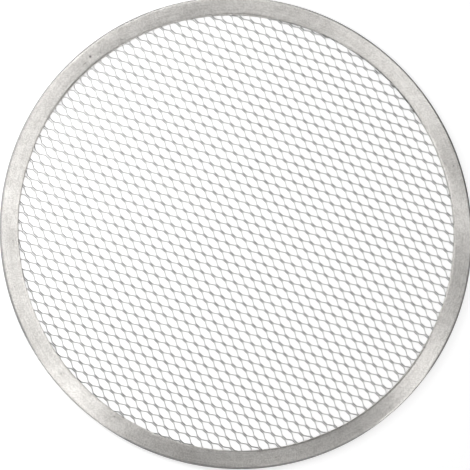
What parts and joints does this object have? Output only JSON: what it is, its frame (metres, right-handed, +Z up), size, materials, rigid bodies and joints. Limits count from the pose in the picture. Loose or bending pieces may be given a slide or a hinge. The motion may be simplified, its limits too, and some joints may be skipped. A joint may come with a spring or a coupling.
{
  "type": "pizza screen",
  "caption": "Round pizza baking screen: a disc of expanded aluminium mesh held in a flat folded rim, so that air reaches the base of what bakes on it.",
  "frame": {"origin": "middle of the screen, on the surface that it lies on", "axes": "+Z up, square to the screen; +X and +Y in its plane, with the long way of the mesh 42.5 degrees clockwise from +X"},
  "size_m": [0.28, 0.28, 0.0029],
  "materials": {
    "rim_sheet": "plain rolled strip, satin, with fine rolling lines",
    "mesh_sheet": "plain expanded sheet, bright with duller cut edges"
  },
  "bodies": {
    "root": {"rim": "rim_sheet", "mesh": "mesh_sheet"}
  },
  "joints": []
}
